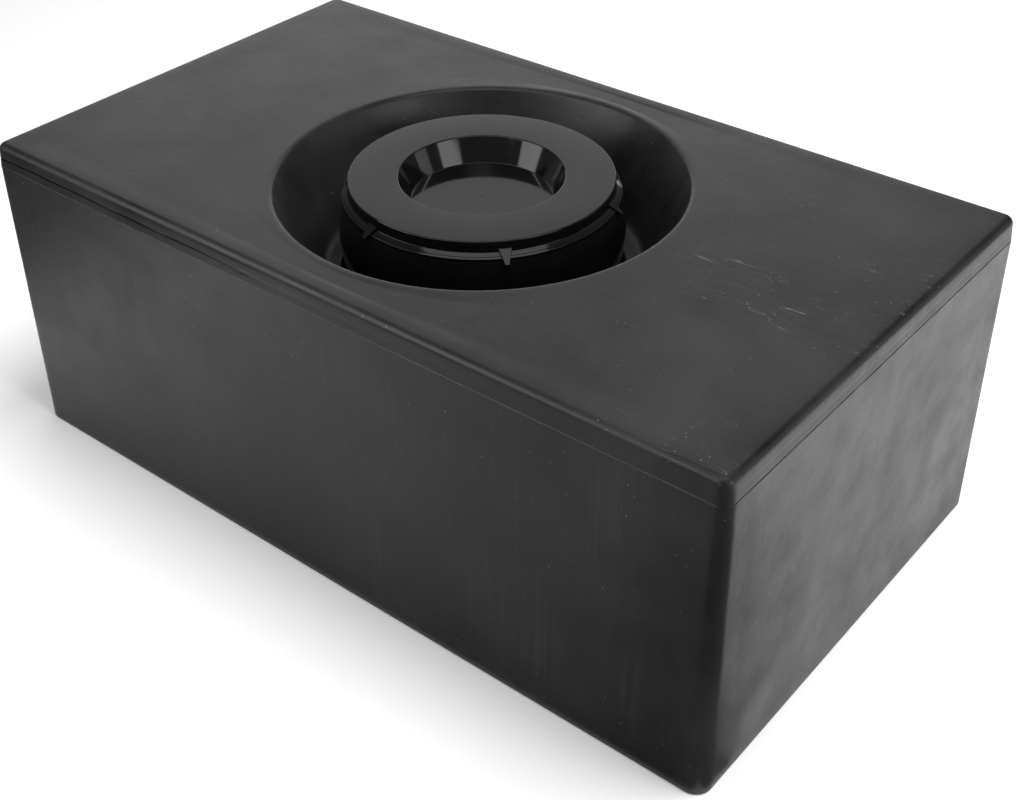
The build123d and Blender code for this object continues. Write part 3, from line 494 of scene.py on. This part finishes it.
def lug_mesh():
    """Wedge lug on +X, from the skirt out over the flange, narrow at its tip."""
    points = []
    for hand in (-1, 1):
        for radius, z in LUG_SIDE:
            share = (radius - LUG_ROOT_RADIUS) / (LUG_TIP_RADIUS - LUG_ROOT_RADIUS)
            width = LUG_ROOT_WIDTH + (LUG_TIP_WIDTH - LUG_ROOT_WIDTH) * share
            points.append((radius, hand * width / 2, z))
    mesh = slab_mesh("lug", points)
    shape = bmesh.new()
    shape.from_mesh(mesh)
    bmesh.ops.bevel(shape, geom=shape.edges, offset=LUG_ROUND, segments=2, affect="EDGES")
    shape.to_mesh(mesh)
    shape.free()
    return mesh


def hook_mesh():
    """Locking hook on +X, at the foot of the spigot."""
    points = []
    for z in (SPIGOT_FOOT_Z, HOOK_TOP_Z):
        for radius, order in ((HOOK_RADIUS, 1), (SPIGOT_RADIUS - HOOK_ROOT, -1)):
            for step in range(HOOK_STEPS + 1):
                angle = HOOK_HALF_ANGLE * order * (2 * step / HOOK_STEPS - 1)
                points.append((radius * math.cos(angle), radius * math.sin(angle), z))
    return slab_mesh("hook", points)


def add_around(shape, mesh, count, start):
    """Add copies of a mesh to a shape, evenly turned about Z from a starting angle."""
    for index in range(count):
        copy = mesh.copy()
        copy.transform(Matrix.Rotation(start + 2 * math.pi * index / count, 4, "Z"))
        shape.from_mesh(copy)
        bpy.data.meshes.remove(copy)


def make_lid():
    """Dished lid with its lugs and hooks in one moulding."""
    mesh = turned_mesh("dished_float_lid", lid_profile())
    shape = bmesh.new()
    shape.from_mesh(mesh)
    add_around(shape, lug_mesh(), LUGS, LUG_START)
    add_around(shape, hook_mesh(), HOOKS, 0.0)
    shape.to_mesh(mesh)
    shape.free()
    piece = finished(mesh)
    dress(piece, "lid", "float_black")
    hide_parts("float_lid")


# ================================================================ materials
class Finish:
    """One material and short calls that add nodes to it."""

    def __init__(self, name, color, roughness, specular=0.5, metallic=0.0):
        self.material = bpy.data.materials.new(name)
        self.material.use_nodes = True
        self.nodes = self.material.node_tree.nodes
        self.links = self.material.node_tree.links
        self.shader = self.nodes["Principled BSDF"]
        self.shader.inputs["Base Color"].default_value = (*color, 1)
        self.shader.inputs["Roughness"].default_value = roughness
        self.shader.inputs["Specular IOR Level"].default_value = specular
        self.shader.inputs["Metallic"].default_value = metallic
        self.place = self.nodes.new("ShaderNodeTexCoord").outputs["Object"]

    def put(self, socket, value):
        """Link a node's output to a socket, or set a plain value on it."""
        if isinstance(value, bpy.types.NodeSocket):
            self.links.new(value, socket)
        else:
            socket.default_value = value

    def stretched(self, scale, turn=(0, 0, 0)):
        """Place with each axis scaled, after a turn in degrees."""
        node = self.nodes.new("ShaderNodeMapping")
        self.put(node.inputs["Vector"], self.place)
        node.inputs["Scale"].default_value = scale
        node.inputs["Rotation"].default_value = [math.radians(angle) for angle in turn]
        return node.outputs["Vector"]

    def noise(self, scale, detail=3.0, roughness=0.55, place=None):
        """Noise from 0 to 1 at a scale per metre."""
        node = self.nodes.new("ShaderNodeTexNoise")
        self.put(node.inputs["Vector"], place or self.place)
        node.inputs["Scale"].default_value = scale
        node.inputs["Detail"].default_value = detail
        node.inputs["Roughness"].default_value = roughness
        return node.outputs["Fac"]

    def ramp(self, value, low, high, low_result=0.0, high_result=1.0):
        """Value's range from low to high spread over the results, held at both ends."""
        node = self.nodes.new("ShaderNodeMapRange")
        self.put(node.inputs["Value"], value)
        node.inputs["From Min"].default_value = low
        node.inputs["From Max"].default_value = high
        node.inputs["To Min"].default_value = low_result
        node.inputs["To Max"].default_value = high_result
        return node.outputs["Result"]

    def math(self, operation, first, second=0.5):
        """Result of one math operation on two values."""
        node = self.nodes.new("ShaderNodeMath")
        node.operation = operation
        self.put(node.inputs[0], first)
        self.put(node.inputs[1], second)
        return node.outputs["Value"]

    def mixed(self, share, first, second):
        """Colour between two colours, by a share."""
        node = self.nodes.new("ShaderNodeMix")
        node.data_type = "RGBA"
        self.put(node.inputs["Factor"], share)
        for socket, color in ((node.inputs["A"], first), (node.inputs["B"], second)):
            self.put(socket, (*color, 1) if isinstance(color, tuple) else color)
        return node.outputs["Result"]

    def specks(self, scale, size, share):
        """Mask of small round specks, in a share of the cells of a grid per metre."""
        node = self.nodes.new("ShaderNodeTexVoronoi")
        self.put(node.inputs["Vector"], self.place)
        node.inputs["Scale"].default_value = scale
        split = self.nodes.new("ShaderNodeSeparateColor")
        self.put(split.inputs["Color"], node.outputs["Color"])
        chosen = self.math("LESS_THAN", split.outputs["Red"], share)
        spread = self.math("MULTIPLY", split.outputs["Green"], size)
        near = self.math("LESS_THAN", node.outputs["Distance"], spread)
        return self.math("MULTIPLY", near, chosen)

    def lines(self, scale, stretch, turn, width):
        """Mask of thin wandering lines: the middle value of a stretched noise."""
        place = self.stretched(stretch, turn)
        value = self.noise(scale, detail=1.0, place=place)
        off = self.math("ABSOLUTE", self.math("SUBTRACT", value, 0.5))
        return self.ramp(off, 0.0, width, 1.0, 0.0)

    def facing(self, axis):
        """How far the true surface faces along an axis, without sign."""
        split = self.nodes.new("ShaderNodeSeparateXYZ")
        self.put(split.inputs["Vector"], self.nodes.new("ShaderNodeNewGeometry").outputs["True Normal"])
        return self.math("ABSOLUTE", split.outputs[axis])

    def near(self, centre, inner, outer):
        """Mask that is 1 within a distance of a place and fades to 0 at a greater one."""
        node = self.nodes.new("ShaderNodeVectorMath")
        node.operation = "DISTANCE"
        self.put(node.inputs[0], self.place)
        self.put(node.inputs[1], centre)
        return self.ramp(node.outputs["Value"], inner, outer, 1.0, 0.0)

    def along(self, axis):
        """Coordinate of the place along an axis."""
        split = self.nodes.new("ShaderNodeSeparateXYZ")
        self.put(split.inputs["Vector"], self.place)
        return split.outputs[axis]

    def bump(self, height, distance, strength=1.0, under=None):
        """Surface relief of a height from 0 to 1 over a distance in metres."""
        node = self.nodes.new("ShaderNodeBump")
        node.inputs["Strength"].default_value = strength
        node.inputs["Distance"].default_value = distance
        self.put(node.inputs["Height"], height)
        if under:
            self.put(node.inputs["Normal"], under)
        return node.outputs["Normal"]

    def use(self, color=None, roughness=None, normal=None):
        """Connect what was built to the shader."""
        for name, value in (("Base Color", color), ("Roughness", roughness), ("Normal", normal)):
            if value:
                self.put(self.shader.inputs[name], value)
        return self.material


def block_haze(finish, mottle):
    """Mask of the hazy patches, with a lighter patch on the front long side."""
    patches = finish.ramp(finish.noise(4.5, detail=3.0), 0.42, 0.68)
    # lighter patch on the front long side, its strength mottled
    extra_marks = finish.near(LIGHTER_PATCH_PLACE, LIGHTER_PATCH_CORE, LIGHTER_PATCH_REACH)
    extra_marks = finish.math("MULTIPLY", extra_marks, finish.ramp(mottle, 0, 1, 0.5, 1.0))
    return finish.math("MAXIMUM", patches, extra_marks)


def block_streaks(finish, haze):
    """Mask of the thin streaks that run down the hazy parts of the sides."""
    upright = finish.ramp(finish.facing("Z"), 0.35, 0.15)
    streak = finish.ramp(finish.noise(1.0, 4.0, 0.6, finish.stretched((150, 150, 5))), 0.52, 0.80)
    return finish.math("MULTIPLY", finish.math("MULTIPLY", streak, upright), haze)


def block_scratches(finish):
    """Mask of the scratches on the deck, more of them towards its right end."""
    scratch = finish.lines(10.0, (1.0, 9.0, 1.0), (0, 0, 35), 0.004)
    patch = finish.ramp(finish.noise(7.0, detail=2.0), 0.50, 0.62)
    level = finish.ramp(finish.facing("Z"), 0.85, 0.97)
    towards_end = finish.ramp(finish.along("X"), 0.10, 0.42)
    scratch = finish.math("MULTIPLY", finish.math("MULTIPLY", scratch, patch), level)
    return finish.math("MULTIPLY", scratch, towards_end)


def block_dirt(finish):
    """Mask of the dust and lint."""
    dust = finish.specks(95, 0.09, 0.08)
    lint = finish.specks(260, 0.18, 0.05)
    return finish.math("MAXIMUM", dust, lint)


def block_black():
    """Moulded black polyethylene: mottled, dusty, streaked down its sides, scratched on the deck."""
    finish = Finish("block_black", (0.008, 0.008, 0.008), 0.38, specular=0.45)
    mottle = finish.ramp(finish.noise(16, detail=6.0, roughness=0.62), 0.38, 0.66)
    haze = block_haze(finish, mottle)
    color = finish.mixed(mottle, (0.0035, 0.0035, 0.0036), (0.0095, 0.0095, 0.0097))
    for mask, strength, mark in (
            (haze, 0.5, (0.026, 0.026, 0.026)),
            (block_streaks(finish, haze), 0.5, (0.040, 0.040, 0.040)),
            (block_scratches(finish), 0.8, (0.12, 0.12, 0.12)),
            (block_dirt(finish), 0.75, (0.17, 0.17, 0.165))):
        color = finish.mixed(finish.math("MULTIPLY", mask, strength), color, mark)
    rough = finish.ramp(mottle, 0.0, 1.0, 0.32, 0.43)
    rough = finish.math("ADD", rough, finish.math("MULTIPLY", haze, 0.07))
    normal = finish.bump(finish.noise(110, detail=3.0), 0.00035, 0.5)
    normal = finish.bump(finish.noise(900, detail=2.0), 0.00008, 0.6, under=normal)
    return finish.use(color, rough, normal)


def float_black():
    """Injection-moulded black plastic, nearly mirror-smooth, with faint rubbing and dust."""
    finish = Finish("float_black", (0.003, 0.003, 0.003), 0.10, specular=0.42)
    cloud = finish.ramp(finish.noise(22, detail=4.0), 0.35, 0.70)
    rough = finish.ramp(cloud, 0.0, 1.0, 0.07, 0.12)
    extra_marks = finish.lines(16.0, (1.0, 8.0, 1.0), (0, 0, 70), 0.003)
    rough = finish.math("ADD", rough, finish.math("MULTIPLY", extra_marks, 0.05))
    dust = finish.specks(210, 0.10, 0.06)
    color = finish.mixed(cloud, (0.002, 0.002, 0.002), (0.0035, 0.0035, 0.0035))
    color = finish.mixed(dust, color, (0.12, 0.12, 0.12))
    normal = finish.bump(finish.noise(60, detail=2.0), 0.00006, 0.5)
    return finish.use(color, rough, normal)


def foam():
    """Cream rigid foam with open cells and browned patches."""
    finish = Finish("foam", (0.72, 0.62, 0.40), 0.9, specular=0.2)
    cells = finish.noise(450, detail=2.0)
    stain = finish.ramp(finish.noise(12), 0.4, 0.7)
    color = finish.mixed(stain, (0.76, 0.67, 0.45), (0.62, 0.49, 0.27))
    return finish.use(color, None, finish.bump(cells, 0.0006))


def black_fittings():
    """Glass-filled nylon of the valve and guide: dark, matt, with flow marks."""
    finish = Finish("black_fittings", (0.02, 0.02, 0.02), 0.5)
    flow = finish.noise(30, 4.0, 0.6, finish.stretched((1, 1, 4), (20, 35, 0)))
    color = finish.mixed(flow, (0.014, 0.014, 0.015), (0.032, 0.032, 0.033))
    rough = finish.ramp(flow, 0.3, 0.7, 0.42, 0.60)
    return finish.use(color, rough, finish.bump(finish.noise(700), 0.0001))


def black_rubber():
    """Dull rubber of the rings and gaskets with a bloom of pale powder."""
    finish = Finish("black_rubber", (0.02, 0.02, 0.02), 0.75, specular=0.3)
    bloom = finish.ramp(finish.noise(60, detail=5.0), 0.45, 0.75)
    color = finish.mixed(bloom, (0.015, 0.015, 0.015), (0.055, 0.055, 0.055))
    rough = finish.ramp(bloom, 0.0, 1.0, 0.68, 0.88)
    return finish.use(color, rough, finish.bump(finish.noise(1200), 0.00008))


def white_plastic():
    """Off-white acetal of the nozzle, bush and drain plug."""
    finish = Finish("white_plastic", (0.78, 0.77, 0.73), 0.35)
    tint = finish.ramp(finish.noise(40), 0.35, 0.7)
    color = finish.mixed(tint, (0.80, 0.79, 0.76), (0.70, 0.68, 0.61))
    rough = finish.ramp(tint, 0.0, 1.0, 0.28, 0.42)
    return finish.use(color, rough, finish.bump(finish.noise(500), 0.00005))


def brass():
    """Turned brass with fine tool rings and dull spots."""
    finish = Finish("brass", (0.72, 0.50, 0.20), 0.28, metallic=1.0)
    tarnish = finish.ramp(finish.noise(90, detail=5.0), 0.45, 0.72)
    color = finish.mixed(tarnish, (0.78, 0.56, 0.24), (0.45, 0.31, 0.14))
    rough = finish.ramp(tarnish, 0.0, 1.0, 0.22, 0.50)
    rings = finish.noise(1.0, 2.0, 0.5, finish.stretched((30, 30, 2500)))
    return finish.use(color, rough, finish.bump(rings, 0.00004))


def stainless():
    """Bright drawn stainless steel with lengthwise lines."""
    finish = Finish("stainless", (0.62, 0.62, 0.60), 0.25, metallic=1.0)
    drawn = finish.noise(1.0, 3.0, 0.6, finish.stretched((1800, 1800, 40)))
    color = finish.mixed(drawn, (0.55, 0.55, 0.54), (0.68, 0.67, 0.65))
    rough = finish.ramp(drawn, 0.3, 0.7, 0.18, 0.36)
    return finish.use(color, rough, finish.bump(drawn, 0.00003))


def cast_iron():
    """Rough cast weight under grey primer, with rust showing through."""
    finish = Finish("cast_iron", (0.15, 0.14, 0.14), 0.7, specular=0.3)
    rust = finish.ramp(finish.noise(45, detail=6.0, roughness=0.7), 0.55, 0.68)
    color = finish.mixed(rust, (0.16, 0.16, 0.165), (0.20, 0.085, 0.035))
    rough = finish.ramp(rust, 0.0, 1.0, 0.6, 0.9)
    return finish.use(color, rough, finish.bump(finish.noise(350, detail=5.0), 0.0006))


MAKERS = [
    block_black, float_black, foam, black_fittings, black_rubber,
    white_plastic, brass, stainless, cast_iron]
MATERIALS = {make.__name__: make() for make in MAKERS}


def dress(piece, body, slot):
    """Give a new piece its material, and name its body and slot."""
    piece.data.materials.append(MATERIALS[slot])
    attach(piece, body)


def dress_frame():
    """Give every packed sub-part the material of its slot."""
    for row in frame["record"]["subparts"]:
        for slot in frame["nodes"][row["node"]].material_slots:
            slot.material = MATERIALS[row["material_slot"]]


# ================================================================ camera, floor and lights
CAMERA_PLACE = (0.95619, -1.12532, 1.17510)
CAMERA_ANGLES = (39.324, 36.495, -0.666)    # heading from +Y to the left, drop and roll, in degrees
CAMERA_LENS = 53.12
CAMERA_SENSOR = 36.0
FLOOR_HALF = 8.0
CARD_Z = 0.002
CARD_CORNERS = [                            # along the front long side and round the near corner
    (-3.2, -0.293), (0.508, -0.293), (0.508, -0.235), (0.70, 0.13),
    (1.8, -0.2), (1.4, -3.0), (-3.2, -3.0)]
# painted light and painted shade of the card that only shows in reflections
CARD_PAINTED_LIGHT = (0.85, 0.85, 0.85)
CARD_PAINTED_SHADE = (0.13, 0.13, 0.13)
ROOM_LIGHT = 0.16


def make_camera():
    """Camera above the near right corner, looking down along the block."""
    heading, drop, roll = (math.radians(angle) for angle in CAMERA_ANGLES)
    right = Vector((math.cos(heading), math.sin(heading), 0))
    level = Vector((-math.sin(heading), math.cos(heading), 0))
    forward = level * math.cos(drop) - Vector((0, 0, math.sin(drop)))
    up = right.cross(forward)
    rolled_right = right * math.cos(roll) + up * math.sin(roll)
    rolled_up = up * math.cos(roll) - right * math.sin(roll)
    camera = bpy.data.objects.new("camera", bpy.data.cameras.new("camera"))
    axes = Matrix((rolled_right, rolled_up, -forward)).transposed().to_4x4()
    camera.matrix_world = Matrix.Translation(CAMERA_PLACE) @ axes
    camera.data.lens = CAMERA_LENS
    camera.data.sensor_width = CAMERA_SENSOR
    bpy.context.scene.collection.objects.link(camera)
    bpy.context.scene.camera = camera


def flat_sheet(name, corners, z):
    """Object of one level face."""
    mesh = bpy.data.meshes.new(name)
    mesh.from_pydata([(x, y, z) for x, y in corners], [], [tuple(range(len(corners)))])
    sheet = bpy.data.objects.new(name, mesh)
    bpy.context.scene.collection.objects.link(sheet)
    return sheet


def make_floor():
    """Plain pale floor."""
    corners = [(-1, -1), (1, -1), (1, 1), (-1, 1)]
    floor = flat_sheet("floor", [(x * FLOOR_HALF, y * FLOOR_HALF) for x, y in corners], 0.0)
    floor.data.materials.append(Finish("floor", (0.88, 0.88, 0.88), 0.9, specular=0.1).material)


def make_painted_reflection_card():
    """Card lying in front of the block that only shows as a reflection: painted shade, with a pale band
    of painted light at x -0.7.
    """
    card = flat_sheet("painted_reflection_card", CARD_CORNERS, CARD_Z)
    finish = Finish("painted_reflection_card", (0.5, 0.5, 0.5), 1.0, specular=0.0)
    # painted shade over most of the card, painted light in a band round x -0.7
    rightward = finish.ramp(finish.along("X"), -0.70, 0.45)
    leftward = finish.ramp(finish.along("X"), -0.68, -0.90)
    dark = finish.math("MAXIMUM", rightward, leftward)
    card.data.materials.append(finish.use(finish.mixed(dark, CARD_PAINTED_LIGHT, CARD_PAINTED_SHADE)))
    card.visible_camera = False
    card.visible_diffuse = False
    card.visible_shadow = False


def softbox(name, place, size, radiance, aim=(0, 0, 0.3)):
    """Rectangular studio light of a given brightness."""
    light = bpy.data.lights.new(name, "AREA")
    light.shape = "RECTANGLE"
    light.size, light.size_y = size
    light.energy = radiance * math.pi * size[0] * size[1]
    box = bpy.data.objects.new(name, light)
    box.location = place
    box.rotation_euler = (Vector(aim) - Vector(place)).to_track_quat("-Z", "Y").to_euler()
    bpy.context.scene.collection.objects.link(box)
    return box


def make_lights():
    """Soft studio light: boxes and strips behind, at the sides and overhead, in a dim room."""
    world = bpy.data.worlds.new("studio")
    bpy.context.scene.world = world
    world.use_nodes = True
    background = world.node_tree.nodes["Background"]
    background.inputs["Color"].default_value = (1, 1, 1, 1)
    background.inputs["Strength"].default_value = ROOM_LIGHT
    softbox("back_box", (-1.75, 2.15, 1.50), (3.4, 2.1), 0.62)
    softbox("back_strip", (-1.55, 1.95, 0.75), (3.0, 0.35), 1.2)
    softbox("high_strip", (-1.05, 1.26, 2.9), (3.0, 0.15), 4.0)
    softbox("right_back_box", (2.5, 2.3, 1.25), (1.2, 0.8), 1.1)
    softbox("right_box", (2.7, -0.1, 1.25), (1.5, 0.8), 3.4)
    softbox("left_box", (-1.55, -2.15, 1.25), (1.5, 0.8), 3.4)
    softbox("left_high_box", (-1.1, -1.9, 1.95), (2.4, 0.7), 3.0)
    softbox("top_box", (0.5, -0.55, 2.8), (2.8, 1.3), 1.5)
    floor_light = softbox("overhead_box", (0.9, 0.5, 3.0), (2.0, 2.0), 10.0, aim=(0.9, 0.5, 0))
    floor_light.visible_glossy = False
    bpy.context.scene.view_settings.view_transform = "Standard"


make_camera()
make_floor()
# card of painted shade and painted light, seen only in reflections
make_painted_reflection_card()
make_lights()
dress_frame()
make_deck_and_bowl()
make_side_walls()
make_lid()

bpy.context.view_layer.update()
